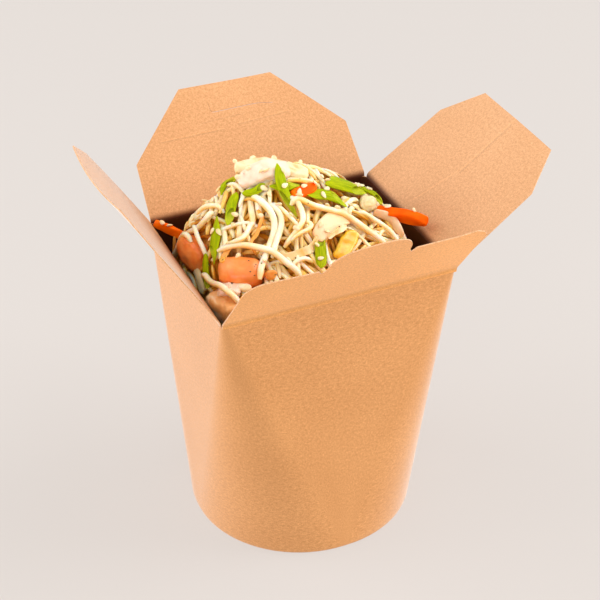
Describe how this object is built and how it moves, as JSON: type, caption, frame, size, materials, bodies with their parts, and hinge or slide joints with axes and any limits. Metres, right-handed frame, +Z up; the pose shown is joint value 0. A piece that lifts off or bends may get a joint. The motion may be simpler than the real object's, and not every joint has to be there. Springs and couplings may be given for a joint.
{
  "type": "noodle takeaway box",
  "caption": "Open kraft paperboard takeaway carton with a round foot, a square mouth and hinged flaps, heaped with noodles, meat, carrot and spring onion.",
  "frame": {"origin": "under the middle of the box round the whole part, on the plane that the foot stands on", "axes": "+Z up; the front flap, with the tongue, faces -Y and the flap with the slot faces +Y; the side flaps face -X and +X"},
  "size_m": [0.1684, 0.1374, 0.161],
  "materials": {
    "kraft_board": "matte",
    "noodles": "satin",
    "chicken": "satin",
    "browned_chicken": "satin",
    "glazed_meat": "satin",
    "carrot": "satin",
    "cabbage": "satin",
    "yellow_pepper": "satin",
    "spring_onion": "satin"
  },
  "bodies": {
    "carton": {"carton_wall": "kraft_board", "carton_base": "kraft_board", "noodle_heap": "noodles", "spring_onion_1": "spring_onion", "spring_onion_2": "spring_onion", "spring_onion_3": "spring_onion", "spring_onion_4": "spring_onion", "spring_onion_5": "spring_onion", "spring_onion_6": "spring_onion", "spring_onion_7": "spring_onion", "spring_onion_8": "spring_onion", "spring_onion_9": "spring_onion", "spring_onion_10": "spring_onion", "spring_onion_11": "spring_onion", "chicken_strip": "chicken", "chicken_slice": "chicken", "radish_strip": "chicken", "chicken_bit": "chicken", "brown_chunk": "browned_chicken", "glazed_front": "glazed_meat", "glazed_left": "glazed_meat", "carrot_left": "carrot", "carrot_middle": "carrot", "carrot_right": "carrot", "cabbage_slice": "cabbage", "cabbage_leaf": "cabbage", "cabbage_chunk": "cabbage", "onion_slice": "cabbage", "pepper_piece": "yellow_pepper"},
    "flap_back": {"flap_back": "kraft_board"},
    "flap_front": {"flap_front": "kraft_board"},
    "flap_left": {"flap_left": "kraft_board"},
    "flap_right": {"flap_right": "kraft_board"}
  },
  "joints": [
    {"name": "crease_back", "type": "hinge", "parent": "carton", "child": "flap_back", "pos_m": [-0.00672, 0.03305, 0.1143], "axis": [-1, 0, 0], "range_deg": [-46, 68]},
    {"name": "crease_front", "type": "hinge", "parent": "carton", "child": "flap_front", "pos_m": [-0.00672, -0.0434, 0.1143], "axis": [1, 0, 0], "range_deg": [-34, 80]},
    {"name": "crease_left", "type": "hinge", "parent": "carton", "child": "flap_left", "pos_m": [-0.05249, -0.00517, 0.1143], "axis": [0, -1, 0], "range_deg": [-44, 83]},
    {"name": "crease_right", "type": "hinge", "parent": "carton", "child": "flap_right", "pos_m": [0.03906, -0.00517, 0.1143], "axis": [0, 1, 0], "range_deg": [-25, 60]}
  ]
}
